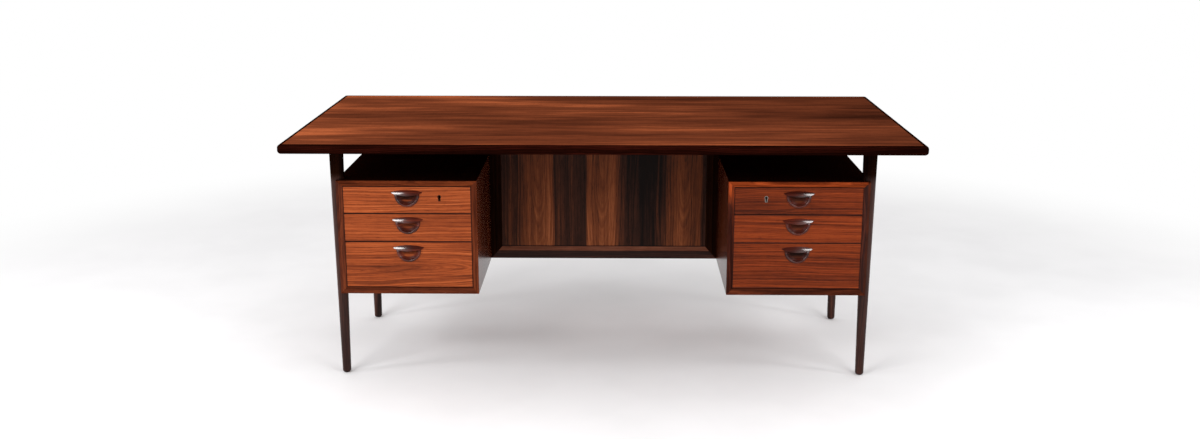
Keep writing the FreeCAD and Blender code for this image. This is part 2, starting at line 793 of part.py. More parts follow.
def top_screws(side, sign):
    """Screws up through a bearer into the desk top."""
    low = "top_under - bearer_height"
    places = ("-top_screw_spacing", "0", "top_screw_spacing")
    return [
        screw(f"{side}_top_screw{i}", "top_screw_length", (f"{sign}*case_out", y, low), UPRIGHT)
        for i, y in enumerate(places)
    ]


def build_desk():
    every_top_screw = []
    every_screw = []
    bearers = []
    outline = pull_outline()
    pull_shapes = (outline, pull_pattern(outline))
    for side, sign in (("left", -1), ("right", 1)):
        screws_up = top_screws(side, sign)
        screws_out = leg_screws(side, sign)
        bearer = side_bearer(f"{side}_bearer_blank", sign)
        bearers.append(cut(f"{side}_bearer", bearer, *screws_up))
        for end, y_sign in (("front", -1), ("rear", 1)):
            leg(f"{side}_{end}_leg", sign, y_sign, bearer, screws_out[end])
        mortise = drawer_stack(side, sign, pull_shapes)
        case(side, sign, screws_out["front"] + screws_out["rear"], mortise)
        every_top_screw += screws_up
        every_screw += screws_up + screws_out["front"] + screws_out["rear"]
    desk_top(every_top_screw)
    node(group("bearers", bearers), "desk_top_bearers")
    knee_frame()
    centre_bookcase()
    node(group("screws", every_screw), "assembly_screws")


build_desk()
doc.recompute()

for obj in doc.Objects:
    if "Invalid" in obj.State or "Error" in obj.State:
        raise RuntimeError(f"{obj.Name} failed: {obj.State}")
for piece in nodes:
    if piece.Shape.isNull() or not piece.Shape.isValid() or not piece.Shape.Solids:
        raise RuntimeError(f"{piece.Label} has no valid shape")

os.makedirs("parts", exist_ok=True)
for piece in nodes:
    piece.Shape.exportStep(f"parts/{piece.Label}.step")
print(len(nodes), "pieces")
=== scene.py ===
import itertools
import math

import bpy
from mathutils import Matrix, Vector


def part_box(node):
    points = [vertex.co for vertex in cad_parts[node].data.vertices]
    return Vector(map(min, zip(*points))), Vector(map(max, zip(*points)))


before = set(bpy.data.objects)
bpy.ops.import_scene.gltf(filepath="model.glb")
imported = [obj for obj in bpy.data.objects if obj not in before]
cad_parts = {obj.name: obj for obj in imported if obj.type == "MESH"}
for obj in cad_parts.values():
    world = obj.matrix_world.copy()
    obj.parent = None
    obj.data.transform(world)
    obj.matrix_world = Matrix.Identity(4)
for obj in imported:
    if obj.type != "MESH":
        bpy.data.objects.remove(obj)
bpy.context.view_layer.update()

# Finishes, light and camera for a rosewood desk with drawer cases and a bookcase at its back.
# Metres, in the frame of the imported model: X to the sitter's right, Y to the back, Z up.

X, Y, Z = 0, 1, 2
OUTWARD = {"left": -1, "right": 1}
TIERS = ("top", "middle", "bottom")


# Colours


def srgb(red, green, blue):
    """A display colour, 0 to 255 a channel, as the linear colour that shaders take."""
    channels = [value / 255 for value in (red, green, blue)]
    return (*[c / 12.92 if c <= 0.04045 else ((c + 0.055) / 1.055) ** 2.4 for c in channels], 1.0)


def darker(colour, share):
    return (*[channel * share for channel in colour[:3]], 1.0)


def wood_tones(*stops):
    """Stops from a wood's darkest streak to its lightest: a level from 0 to 1, and a display colour."""
    return [(level, srgb(*colour)) for level, *colour in stops]


TOP_TONES = wood_tones((0.0, 38, 16, 9), (0.36, 82, 39, 23), (0.62, 113, 56, 33), (1.0, 188, 99, 58))
LIPPING_TONES = wood_tones((0.0, 8, 2, 1), (0.45, 25, 6, 3), (0.7, 44, 12, 7), (1.0, 84, 29, 16))
LEG_TONES = wood_tones((0.0, 18, 8, 7), (0.45, 44, 23, 18), (0.7, 65, 36, 28), (1.0, 96, 55, 42))
CASE_TONES = wood_tones((0.0, 28, 9, 4), (0.4, 62, 24, 10), (0.65, 88, 36, 15), (1.0, 124, 57, 27))
# Very dark tones that paint the shade on pieces under the top: the bearers, the knee frame's stiles and the
# legs' tops.
PAINTED_SHADE_TONES = wood_tones((0.0, 9, 3, 2), (0.4, 19, 7, 4), (0.65, 28, 12, 6), (1.0, 46, 21, 12))
PANEL_TONES = wood_tones((0.0, 21, 13, 11), (0.3, 61, 34, 24), (0.62, 118, 62, 35), (1.0, 176, 102, 62))
WARM_TONES = wood_tones((0.0, 36, 14, 8), (0.4, 86, 38, 20), (0.62, 116, 54, 28), (1.0, 158, 80, 42))
PALE_TONES = wood_tones(
    (0.0, 146, 100, 60), (0.42, 184, 136, 88), (0.65, 202, 156, 106), (1.0, 218, 178, 130),
)
PLY_TONES = wood_tones(
    (0.0, 160, 116, 74), (0.42, 196, 154, 106), (0.65, 210, 172, 124), (1.0, 224, 190, 146),
)
PULL_TONES = wood_tones((0.0, 28, 8, 5), (0.45, 60, 20, 12), (0.7, 82, 30, 18), (1.0, 116, 50, 30))

FRONT_TONES = {
    "left": wood_tones((0.0, 66, 26, 11), (0.36, 132, 59, 26), (0.6, 165, 79, 37), (1.0, 202, 110, 60)),
    "right": wood_tones((0.0, 42, 13, 4), (0.36, 96, 36, 11), (0.6, 130, 52, 18), (1.0, 170, 78, 32)),
}
DISH_TONES = {
    "left": wood_tones((0.0, 40, 16, 8), (0.4, 94, 41, 20), (0.62, 126, 57, 28), (1.0, 166, 84, 43)),
    "right": wood_tones((0.0, 30, 12, 8), (0.4, 66, 29, 16), (0.62, 92, 42, 23), (1.0, 130, 64, 36)),
}

RAIL_BEVEL = wood_tones((0.0, 60, 32, 23), (0.4, 116, 68, 50), (0.62, 140, 86, 64), (1.0, 172, 112, 86))
BRIGHT_BEVEL = wood_tones((0.0, 54, 19, 8), (0.4, 126, 52, 23), (0.62, 166, 72, 33), (1.0, 206, 102, 50))
MID_BEVEL = wood_tones((0.0, 28, 11, 8), (0.4, 66, 30, 18), (0.62, 92, 43, 26), (1.0, 134, 68, 38))
DARK_BEVEL = wood_tones((0.0, 22, 9, 8), (0.4, 48, 22, 17), (0.62, 70, 33, 24), (1.0, 112, 56, 34))
# The dark bevel's tones with a bright top, for the painted light on the right case's inner bevel.
LIT_FADING_BEVEL = wood_tones((0.0, 22, 9, 8), (0.4, 48, 22, 17), (0.62, 70, 33, 24), (1.0, 176, 76, 36))
CASE_BEVELS = {
    "left_case_top": WARM_TONES,
    "left_case_bottom": MID_BEVEL,
    "left_case_inner_side": MID_BEVEL,
    "left_case_outer_side": WARM_TONES,
    "right_case_top": BRIGHT_BEVEL,
    "right_case_bottom": MID_BEVEL,
    "right_case_inner_side": LIT_FADING_BEVEL,
    "right_case_outer_side": DARK_BEVEL,
}

BRASS = srgb(176, 148, 104)
DARK_BRASS = srgb(52, 38, 30)
NICKEL = srgb(150, 146, 140)
STEEL = srgb(150, 150, 152)


# Shader building

MIX_SOCKETS = {"RGBA": (6, 7, 2), "VECTOR": (4, 5, 1)}


class Shader:
    """The nodes of a material or the world. Most methods return the output socket that they make."""

    def __init__(self, owner, surface="Principled BSDF"):
        owner.use_nodes = True
        self.tree = owner.node_tree
        self.surface = self.tree.nodes[surface]

    def node(self, kind):
        return self.tree.nodes.new(f"ShaderNode{kind}")

    def feed(self, socket, value):
        """Link another socket to this one, or set a plain value on it."""
        if isinstance(value, bpy.types.NodeSocket):
            self.tree.links.new(value, socket)
        else:
            socket.default_value = value

    def put(self, name, value):
        """Give an input of the surface its value."""
        self.feed(self.surface.inputs[name], value)

    def operate(self, kind, operation, terms):
        node = self.node(kind)
        node.operation = operation
        for socket, term in zip(node.inputs, terms):
            self.feed(socket, term)
        return node.outputs

    def math(self, operation, *terms):
        return self.operate("Math", operation, terms)["Value"]

    def vector(self, operation, *terms):
        return self.operate("VectorMath", operation, terms)["Vector"]

    def length(self, vector):
        return self.operate("VectorMath", "LENGTH", [vector])["Value"]

    def sum(self, first, *weighted):
        """first plus each weight times its value. A weight of 0 adds nothing, and no node."""
        total = first
        for weight, value in weighted:
            if weight:
                total = self.math("MULTIPLY_ADD", value, weight, total)
        return total

    def distance(self, first, second):
        """How far off a point is whose two coordinates these are."""
        squares = self.math("ADD", self.math("POWER", first, 2.0), self.math("POWER", second, 2.0))
        return self.math("SQRT", squares)

    def combine(self, x, y, z):
        node = self.node("CombineXYZ")
        for socket, value in zip(node.inputs, (x, y, z)):
            self.feed(socket, value)
        return node.outputs[0]

    def split(self, vector):
        """The three coordinates of a vector."""
        node = self.node("SeparateXYZ")
        self.feed(node.inputs[0], vector)
        return node.outputs

    def place(self):
        """The point's place in the frame at rest."""
        return self.node("TexCoord").outputs["Object"]

    def coordinate(self, axis):
        """One coordinate of the point's place in the frame at rest."""
        return self.split(self.place())[axis]

    def seen(self):
        """1 for rays that show a background: from the camera, off a gloss or through glass."""
        path = self.node("LightPath").outputs
        direct = self.math("MAXIMUM", path["Is Camera Ray"], path["Is Glossy Ray"])
        return self.math("MAXIMUM", direct, path["Is Transmission Ray"])

    def centred_noise(self, dimensions, socket, place, detail, roughness):
        node = self.node("TexNoise")
        node.noise_dimensions = dimensions
        self.feed(node.inputs[socket], place)
        node.inputs["Scale"].default_value = 1.0
        node.inputs["Detail"].default_value = detail
        node.inputs["Roughness"].default_value = roughness
        return self.math("SUBTRACT", node.outputs[0], 0.5)

    def noise(self, vector, waves, detail=2.0, roughness=0.5):
        """Noise centred on 0, with the given waves per metre on each axis."""
        return self.centred_noise("3D", "Vector", self.vector("MULTIPLY", vector, waves), detail, roughness)

    def line_noise(self, distance, waves, detail=2.0, roughness=0.5):
        """Noise centred on 0 that changes along one distance only."""
        return self.centred_noise("1D", "W", self.math("MULTIPLY", distance, waves), detail, roughness)

    def ramp(self, value, stops):
        node = self.node("ValToRGB")
        self.feed(node.inputs[0], value)
        elements = node.color_ramp.elements
        while len(elements) < len(stops):
            elements.new(0.5)
        for element, (position, colour) in zip(elements, stops):
            element.position = position
            element.color = colour
        return node.outputs[0]

    def blend(self, share, first, second, kind="RGBA"):
        """first where share is 0, second where it is 1: colours, or places where kind is VECTOR."""
        node = self.node("Mix")
        node.data_type = kind
        first_socket, second_socket, result = MIX_SOCKETS[kind]
        self.feed(node.inputs[0], share)
        self.feed(node.inputs[first_socket], first)
        self.feed(node.inputs[second_socket], second)
        return node.outputs[result]

    def steps(self, value, low, high):
        """0 up to low, 1 from high on, smooth between. low may be above high."""
        node = self.node("MapRange")
        node.interpolation_type = "SMOOTHSTEP"
        self.feed(node.inputs["Value"], value)
        node.inputs["From Min"].default_value = low
        node.inputs["From Max"].default_value = high
        return node.outputs[0]

    def bump(self, height, strength, distance):
        node = self.node("Bump")
        self.feed(node.inputs["Height"], height)
        node.inputs["Strength"].default_value = strength
        node.inputs["Distance"].default_value = distance
        self.put("Normal", node.outputs[0])


# Wood. Waves are per metre: along the grain, across the face and into the board.

BOARDS = itertools.count(1)
LOG_START, BOARD_STEP, RING_STEP = (0.3, 0.0, 0.0), (1.7, 0.43, 0.29), 0.37
STRAIGHT = (-3.0, 0.0, 0.0)
BEND_WAVES, BEND_ACROSS, BEND_BELOW = (1.6, 5.0, 5.0), 0.05, 0.03
RIPPLE_WAVES, RIPPLE_ACROSS = (8.0, 24.0, 24.0), 0.007
BAND_WAVES, BAND_WEIGHT = 38.0, 0.75
LINE_WAVES, LINE_WEIGHT = 190.0, 0.9
FIBRE_WAVES, FIBRE_WEIGHT = (7.0, 330.0, 330.0), 0.55
CLOUD_WAVES, CLOUD_WEIGHT = (1.7, 13.0, 13.0), 0.9
FLECK_WAVES, FLECK_WEIGHT = (22.0, 70.0, 70.0), 0.25
PORE_WAVES, PORE_LEVELS, PORE_DARKNESS = (40.0, 900.0, 900.0), (0.08, 0.2), 0.225
MID_TONE = 0.5
RELIEF, RELIEF_DEPTH = 0.2, 0.0003
FIBRE_ROUGHNESS, PORE_ROUGHNESS = 0.75, 0.6

# Gloss: roughness and specular level. Coat: roughness and refractive index.
MATT = 0.6
DULL = (MATT, 0.0)
SATIN = (0.42, 0.09)
PANEL_GLOSS = (0.4, 0.05)
LIPPING_GLOSS = (0.3, 0.0)
PULL_GLOSS = (0.3, 0.05)
HAND_POLISH = (0.14, 1.8)
LACQUER = (0.24, 1.4)
LEG_POLISH = (0.35, 1.25)


def with_grain(shader, along, across):
    """The point's place with X along the grain, Y across the face and Z into the board."""
    place = shader.split(shader.place())
    return shader.combine(place[along], place[across], place[X + Y + Z - along - across])


def growth_ring(shader, place, log, heart, board):
    """The distance from the heart of the log, which bends a little."""
    length, width, _ = shader.split(place)
    bend = shader.noise(log, BEND_WAVES)
    ripple = shader.noise(log, RIPPLE_WAVES)
    heart_across, heart_below, rise = heart
    off_heart = shader.math("SUBTRACT", width, heart_across)
    off_heart = shader.sum(off_heart, (BEND_ACROSS, bend), (RIPPLE_ACROSS, ripple))
    below = shader.sum(heart_below, (rise, length), (BEND_BELOW, bend))
    return shader.math("ADD", shader.distance(off_heart, below), RING_STEP * board)


def wood(name, tones, along, across, gloss, heart=STRAIGHT, streaks=1.0, lines=1.0, tone=0.0, drift=0.0,
         relief=RELIEF, other_grain=None, edge=None, coat=None, shade=None):
    """Figured wood, each time from another part of the log.

    heart says where the log's centre lies: its place across the face, its depth below it where the
    place along the grain is 0, and how fast that depth changes along the grain. tone shifts the whole
    board, drift shifts it along the grain, and shade is a function that shifts it by place. other_grain,
    edge and coat give a mask, and what holds where it is 1: another grain, other tones and roughness, or
    a clear coat.
    """
    board = next(BOARDS)
    material = bpy.data.materials.new(name)
    shader = Shader(material)
    place = with_grain(shader, along, across)
    if other_grain:
        mask, other_along, other_across = other_grain
        place = shader.blend(mask(shader), place, with_grain(shader, other_along, other_across), "VECTOR")
    log = shader.vector("ADD", place, [start + board * step for start, step in zip(LOG_START, BOARD_STEP)])
    ring = growth_ring(shader, place, log, heart, board)
    fibres = shader.noise(log, FIBRE_WAVES, detail=3, roughness=0.6)
    pores = shader.steps(shader.noise(log, PORE_WAVES), *PORE_LEVELS)
    value = shader.sum(
        MID_TONE + tone,
        (BAND_WEIGHT * streaks, shader.line_noise(ring, BAND_WAVES)),
        (LINE_WEIGHT * lines, shader.line_noise(ring, LINE_WAVES, detail=3, roughness=0.7)),
        (FIBRE_WEIGHT * lines, fibres),
        (CLOUD_WEIGHT * streaks, shader.noise(log, CLOUD_WAVES, detail=3)),
        (FLECK_WEIGHT * streaks, shader.noise(log, FLECK_WAVES)),
    )
    if drift:
        value = shader.sum(value, (drift, shader.coordinate(along)))
    if shade:
        value = shade(shader, value)
    value = shader.sum(value, (-PORE_DARKNESS, pores))
    colour = shader.ramp(value, tones)
    roughness, specular = gloss
    rough = shader.sum(roughness, (FIBRE_ROUGHNESS * relief, fibres), (PORE_ROUGHNESS * relief, pores))
    if edge:
        mask, edge_tones, edge_roughness = edge
        on_edge = mask(shader)
        colour = shader.blend(on_edge, colour, shader.ramp(value, edge_tones))
        rough = shader.sum(rough, (edge_roughness - roughness, on_edge))
    shader.put("Base Color", colour)
    shader.put("Roughness", rough)
    shader.put("Specular IOR Level", specular)
    if coat:
        mask, coat_roughness, coat_index = coat
        shader.put("Coat Weight", mask(shader))
        shader.put("Coat Roughness", coat_roughness)
        shader.put("Coat IOR", coat_index)
    if relief:
        shader.bump(shader.math("SUBTRACT", fibres, pores), relief, RELIEF_DEPTH)
    return material


# Metal

TARNISH_WAVES, TARNISH_LEVELS, TARNISH_SHARE = (60.0, 60.0, 60.0), (-0.1, 0.3), 0.5
SCRATCH_WAVES = (900.0, 90.0, 900.0)
TARNISH_ROUGHNESS, SCRATCH_ROUGHNESS = 0.2, 0.15


def metal(name, colour, roughness):
    """Rolled metal with faint tarnish."""
    material = bpy.data.materials.new(name)
    shader = Shader(material)
    tarnish = shader.noise(shader.place(), TARNISH_WAVES, detail=3)
    scratches = shader.noise(shader.place(), SCRATCH_WAVES)
    tarnished = shader.steps(tarnish, *TARNISH_LEVELS)
    shader.put("Base Color", shader.blend(tarnished, colour, darker(colour, TARNISH_SHARE)))
    rough = shader.sum(roughness, (TARNISH_ROUGHNESS, tarnish), (SCRATCH_ROUGHNESS, scratches))
    shader.put("Roughness", rough)
    shader.put("Metallic", 1.0)
    return material


# Masks, by place in the frame at rest

BLUR, WIDE_BLUR, DISH_BLUR = 0.0004, 0.0006, 0.0012
DRAWER_FACE = -0.279
BEVEL_BACK = DRAWER_FACE + 0.0005
FRAME_FACE = 0.0975
CASE_TOP = 0.603
OUTER_FLAT = 0.771
SHADE_UNDER_TOP = (0.59, 0.625)
GAP_SHADE_WIDTH = 0.0012
DRAWER_SIDE, DRAWER_BACK = 0.0121, 0.0101
LIP_FACE = DRAWER_FACE - 0.0002
LIP_HEIGHT = 0.0185
# Coat weight on a pull's lip, least and most, and on its rim. The lip's weight rises outwards and paints a
# sheen at its outer end.
LIP_POLISH, RIM_POLISH = (0.06, 1.0), 0.28
LIP_POLISH_SPAN = (-0.45, 0.75)
DISH_FACE = DRAWER_FACE + 0.0032


def middle_and_half(node, axis):
    """The middle of a node along an axis, and half its length."""
    low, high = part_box(node)
    return (low[axis] + high[axis]) / 2, (high[axis] - low[axis]) / 2


def outside(mask):
    """1 where a mask is 0."""
    return lambda shader: shader.math("SUBTRACT", 1.0, mask(shader))


def ahead_of(y):
    """1 in front of a plane across the desk."""
    return lambda shader: shader.steps(shader.coordinate(Y), y + WIDE_BLUR, y - WIDE_BLUR)


def behind(y, blur=BLUR):
    """1 behind a plane across the desk."""
    return lambda shader: shader.steps(shader.coordinate(Y), y - blur, y + blur)


def bevel(shader):
    """1 on the bevelled fronts of the cases, but not on the flat of their outermost edges."""
    off_middle = shader.math("ABSOLUTE", shader.coordinate(X))
    within = shader.steps(off_middle, OUTER_FLAT + WIDE_BLUR, OUTER_FLAT - WIDE_BLUR)
    return shader.math("MULTIPLY", ahead_of(BEVEL_BACK)(shader), within)


def under_top(shader):
    """1 on what stands in the shade between the cases and the top."""
    return shader.steps(shader.coordinate(Z), *SHADE_UNDER_TOP)


def end_lipping(shader):
    """1 on the lippings of the two short ends, as far as their mitres."""
    _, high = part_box("desk_top_lipping")

    def past_corner(axis):
        return shader.math("SUBTRACT", shader.math("ABSOLUTE", shader.coordinate(axis)), high[axis])

    return shader.math("GREATER_THAN", past_corner(X), past_corner(Y))


def gap_shade_border(node):
    """1 along the border of a drawer front, which is painted dark as shade in the gaps between fronts."""

    def mask(shader):
        depths = []
        for axis in (X, Z):
            middle, half = middle_and_half(node, axis)
            off_middle = shader.math("ABSOLUTE", shader.math("SUBTRACT", shader.coordinate(axis), middle))
            depths.append(shader.math("SUBTRACT", half, off_middle))
        return shader.steps(shader.math("MINIMUM", *depths), GAP_SHADE_WIDTH + BLUR, GAP_SHADE_WIDTH - BLUR)

    return mask


def lip_sheen(node, outward):
    """The clear coat of a pull in front of its drawer, heaviest at the lip's outer end: the highlight is
    the lamps' reflection, kept to that end by painted sheen.
    """
    middle, half = middle_and_half(node, X)
    lip_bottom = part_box(node)[1][Z] - LIP_HEIGHT
    least, most = LIP_POLISH

    def mask(shader):
        on_lip = shader.math("GREATER_THAN", shader.coordinate(Z), lip_bottom)
        off_middle = shader.math("SUBTRACT", shader.coordinate(X), middle)
        outer = shader.steps(shader.math("MULTIPLY", off_middle, outward / half), *LIP_POLISH_SPAN)
        above_rim = shader.sum(least - RIM_POLISH, (most - least, outer))
        polish = shader.math("MULTIPLY_ADD", on_lip, above_rim, RIM_POLISH)
        return shader.math("MULTIPLY", ahead_of(LIP_FACE)(shader), polish)

    return mask


def drawer_back(node):
    """1 on the back of a drawer box, which stands between its two sides."""
    middle, half = middle_and_half(node, X)
    rear = behind(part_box(node)[1][Y] - DRAWER_BACK)

    def mask(shader):
        off_middle = shader.math("ABSOLUTE", shader.math("SUBTRACT", shader.coordinate(X), middle))
        between_sides = shader.math("LESS_THAN", off_middle, half - DRAWER_SIDE)
        return shader.math("MULTIPLY", rear(shader), between_sides)

    return mask


# Shades, which shift the tone of a board by place: wood figure, and painted light and shade

# The knee panel's pale leaves: left edge and its fade, right edge and its fade, and how pale
LEAVES = (
    (-0.262, 0.06, -0.165, 0.012, 0.9),
    (-0.057, 0.01, 0.046, 0.06, 1.0),
    (0.208, 0.05, 0.313, 0.04, 0.7),
)
LEAF_GROUND, LEAF_LIFT = -0.18, 0.36
SWAY_WAVES, SWAY = (9.0, 1.0, 2.5), 0.03
ARCH_WAVES, ARCH_WEIGHT, ARCH_RISE, ARCH_TOP = 240.0, 0.45, 0.09, 0.75
STRIPE_WAVES, STRIPE_WEIGHT = 45.0, 0.6
DARK_STRIPE, DARK_STRIPE_SHADE = (0.07, 0.11, 0.16, 0.2), -0.25
# Painted shade on the panel's upper part, under the top, and a painted shadow along its foot on the rail.
UPPER_PANEL, UPPER_PANEL_SHADE = (0.4, 0.75), -0.16
RAIL_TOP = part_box("knee_frame_bottom_rail")[1][Z]
JOINT_SHADOW, JOINT_SHADE = (RAIL_TOP + 0.004, RAIL_TOP + 0.0015), -0.5

# Painted shade on the cases' upper faces and in the pulls' hollows under their lips, and painted light on
# the right case's bevel.
UPPER_FACE, UPPER_FACE_SHADE = (CASE_TOP - 0.0008, CASE_TOP - 0.0002), -0.7
LIP_SHADOW, LIP_SHADOW_SHADE = (0.014, 0.007), -0.35
LIT_BEVEL, LIT_BEVEL_LIFT = (0.5, 0.575), 0.4

# Waves per metre of the top's veneer on each axis, and their weight
TOP_FIGURE = {
    "clouds": ((1.5, 6.5, 1.0), 0.85),
    "ribbons": ((0.9, 15.0, 1.0), 0.5),
    "spindles": ((6.0, 48.0, 1.0), 0.5),
}
TOP_FIGURE_DETAIL = 1.5


def panel_leaves(shader, value):
    """Pale leaves with arched figure on a dark striped ground, with painted shade on the upper part and a
    painted shadow along the foot.
    """
    place = shader.place()
    x, _, z = shader.split(place)
    x = shader.sum(x, (SWAY, shader.noise(place, SWAY_WAVES)))
    depth = shader.math("MULTIPLY", shader.math("SUBTRACT", ARCH_TOP, z), ARCH_RISE)
    lift, arches = 0.0, 0.0
    for left, left_fade, right, right_fade, pale in LEAVES:
        rising = shader.steps(x, left - left_fade / 2, left + left_fade / 2)
        falling = shader.steps(x, right + right_fade / 2, right - right_fade / 2)
        leaf = shader.math("MULTIPLY", rising, falling)
        arch = shader.distance(shader.math("SUBTRACT", x, (left + right) / 2), depth)
        arch_lines = shader.line_noise(arch, ARCH_WAVES, roughness=0.6)
        arches = shader.math("MULTIPLY_ADD", arch_lines, leaf, arches)
        lift = shader.math("MULTIPLY_ADD", leaf, pale, lift)
    ground = shader.math("SUBTRACT", 1.0, lift)
    stripes = shader.math("MULTIPLY", shader.line_noise(x, STRIPE_WAVES), ground)
    start, full, full_end, end = DARK_STRIPE
    dark_stripe = shader.math("MULTIPLY", shader.steps(x, start, full), shader.steps(x, end, full_end))
    return shader.sum(
        shader.math("ADD", value, LEAF_GROUND),
        (LEAF_LIFT, lift),
        (ARCH_WEIGHT, arches),
        (STRIPE_WEIGHT, stripes),
        (DARK_STRIPE_SHADE, dark_stripe),
        (UPPER_PANEL_SHADE, shader.steps(z, *UPPER_PANEL)),
        (JOINT_SHADE, shader.steps(z, *JOINT_SHADOW)),
    )


def dark_upper_face(shader, value):
    """The upper face of a case, which little light reaches under the top."""
    return shader.sum(value, (UPPER_FACE_SHADE, shader.steps(shader.coordinate(Z), *UPPER_FACE)))


def lip_shadow(node):
    """The upper part of a pull's hollow, in the shade of its lip."""
    lip_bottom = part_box(node)[1][Z] - LIP_HEIGHT

    def shade(shader, value):
        near_lip = shader.steps(shader.coordinate(Z), *[lip_bottom - drop for drop in LIP_SHADOW])
        in_dish = behind(DISH_FACE, DISH_BLUR)(shader)
        return shader.sum(value, (LIP_SHADOW_SHADE, shader.math("MULTIPLY", in_dish, near_lip)))

    return shade


def lit_upper_bevel(shader, value):
    """The bevel beside the right case's top drawer, which catches the light at its upper end."""
    high = shader.steps(shader.coordinate(Z), *LIT_BEVEL)
    return shader.sum(value, (LIT_BEVEL_LIFT, shader.math("MULTIPLY", bevel(shader), high)))


def top_clouds(shader, value):
    """Broad soft figure in the veneer of the top, longest along the grain."""
    for waves, weight in TOP_FIGURE.values():
        value = shader.sum(value, (weight, shader.noise(shader.place(), waves, TOP_FIGURE_DETAIL)))
    return value


# Finishes, sub-part by sub-part. Boards are numbered in this order.

# The look of each drawer front: how far its tone is shifted, and where the heart of its log lies
FRONT_FIGURES = {
    "left_top_drawer": (0.02, STRAIGHT),
    "left_middle_drawer": (-0.1, STRAIGHT),
    "left_bottom_drawer": (-0.1, (0.335, 0.055, 0.07)),
    "right_top_drawer": (-0.14, (0.42, 0.09, -0.05)),
    "right_middle_drawer": (0.03, STRAIGHT),
    "right_bottom_drawer": (-0.08, (0.22, -0.01, 0.05)),
}
FRONT_STREAKS = 0.65
FRONT_LINES = {"left": 1.5, "right": 1.2}


def finish(node, material):
    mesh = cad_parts[node].data
    mesh.materials.clear()
    mesh.materials.append(material)


def finish_top():
    finish("desk_top_panel", wood("top_veneer", TOP_TONES, X, Y, DULL, streaks=0.3, lines=0.3,
                                  tone=-0.02, drift=-0.17, shade=top_clouds))
    finish("desk_top_lipping", wood("lipping_wood", LIPPING_TONES, X, Z, LIPPING_GLOSS,
                                    tone=-0.09, drift=-0.1, other_grain=(end_lipping, Y, Z)))
    # Painted shade: the bearers under the top take very dark tones.
    finish("desk_top_bearers", wood("bearer_wood", PAINTED_SHADE_TONES, Y, Z, DULL))


def finish_knee_space():
    finish("knee_panel", wood("knee_panel_veneer", PANEL_TONES, Z, X, PANEL_GLOSS, streaks=0.6, lines=0.65,
                              shade=panel_leaves))
    for rail in ("bottom_rail", "top_rail"):
        rail_bevel = (behind(FRAME_FACE), RAIL_BEVEL, MATT)
        finish(f"knee_frame_{rail}", wood(f"{rail}_wood", LEG_TONES, X, Z, SATIN, edge=rail_bevel))
    for stile in ("left_stile", "right_stile"):
        # Painted shade: the stiles beside the knee panel take very dark tones.
        finish(f"knee_frame_{stile}", wood(f"{stile}_wood", PAINTED_SHADE_TONES, Z, X, DULL))


def finish_bookcase():
    for board, along in (("bottom", X), ("top", X), ("left_side", Z), ("right_side", Z)):
        finish(f"bookcase_{board}", wood(f"bookcase_{board}_wood", WARM_TONES, along, Y, SATIN))


def finish_legs(side):
    # Painted shade: the legs' tops under the desk top take very dark tones and no coat.
    shaded = (under_top, PAINTED_SHADE_TONES, MATT)
    polished = (outside(under_top), *LEG_POLISH)
    for end in ("front", "rear"):
        look = wood(f"{side}_{end}_leg_wood", LEG_TONES, Z, X, DULL, edge=shaded, coat=polished)
        finish(f"{side}_{end}_leg", look)


def finish_case(side):
    lacquered = (outside(bevel), *LACQUER)
    lit = lit_upper_bevel if side == "right" else None
    for board, along, gloss, coat, shade in (
        ("top", X, DULL, None, dark_upper_face),
        ("bottom", X, DULL, None, None),
        ("inner_side", Z, DULL, lacquered, lit),
        ("outer_side", Z, SATIN, None, None),
    ):
        name = f"{side}_case_{board}"
        bevelled = (bevel, CASE_BEVELS[name], MATT)
        finish(name, wood(f"{name}_wood", CASE_TONES, along, Y, gloss,
                          edge=bevelled, coat=coat, shade=shade))
    finish(f"{side}_case_partition", wood(f"{side}_partition_wood", CASE_TONES, X, Z, SATIN))
    finish(f"{side}_case_runners", wood(f"{side}_runner_wood", PALE_TONES, Y, Z, SATIN))


def finish_drawer(side, tier):
    name = f"{side}_{tier}_drawer"
    front, pull, box = [f"{name}_{piece}" for piece in ("front", "pull", "box")]
    tone, heart = FRONT_FIGURES[name]
    # Painted shade: a dark border on each front, which widens the shadow in the gaps.
    border = (gap_shade_border(front), DARK_BEVEL, MATT)
    finish(front, wood(f"{name}_veneer", FRONT_TONES[side], X, Z, SATIN, heart,
                       FRONT_STREAKS, FRONT_LINES[side], tone, edge=border))
    dish = (behind(DISH_FACE, DISH_BLUR), DISH_TONES[side], MATT)
    # Painted sheen: the coat is weighted to each lip's outer end.
    polished = (lip_sheen(pull, OUTWARD[side]), *HAND_POLISH)
    finish(pull, wood(f"{pull}_wood", PULL_TONES, X, Z, PULL_GLOSS, relief=0.0,
                      edge=dish, coat=polished, shade=lip_shadow(pull)))
    finish(box, wood(f"{box}_wood", PALE_TONES, Y, Z, SATIN, other_grain=(drawer_back(box), X, Z)))
    finish(f"{name}_bottom", wood(f"{name}_ply", PLY_TONES, X, Y, SATIN))


def finish_fittings():
    brass = metal("aged_brass", BRASS, roughness=0.35)
    keyholes = {
        "left": metal("keyhole_dark_brass", DARK_BRASS, roughness=0.5),
        "right": metal("keyhole_nickel", NICKEL, roughness=0.3),
    }
    for side, keyhole in keyholes.items():
        finish(f"{side}_lock_case", brass)
        finish(f"{side}_lock_bolt", brass)
        finish(f"{side}_lock_escutcheon", keyhole)
    finish("assembly_screws", metal("screw_steel", STEEL, roughness=0.4))


finish_top()
finish_knee_space()
finish_bookcase()
for side in OUTWARD:
    finish_legs(side)
    finish_case(side)
    for tier in TIERS:
        finish_drawer(side, tier)
finish_fittings()


# Floor

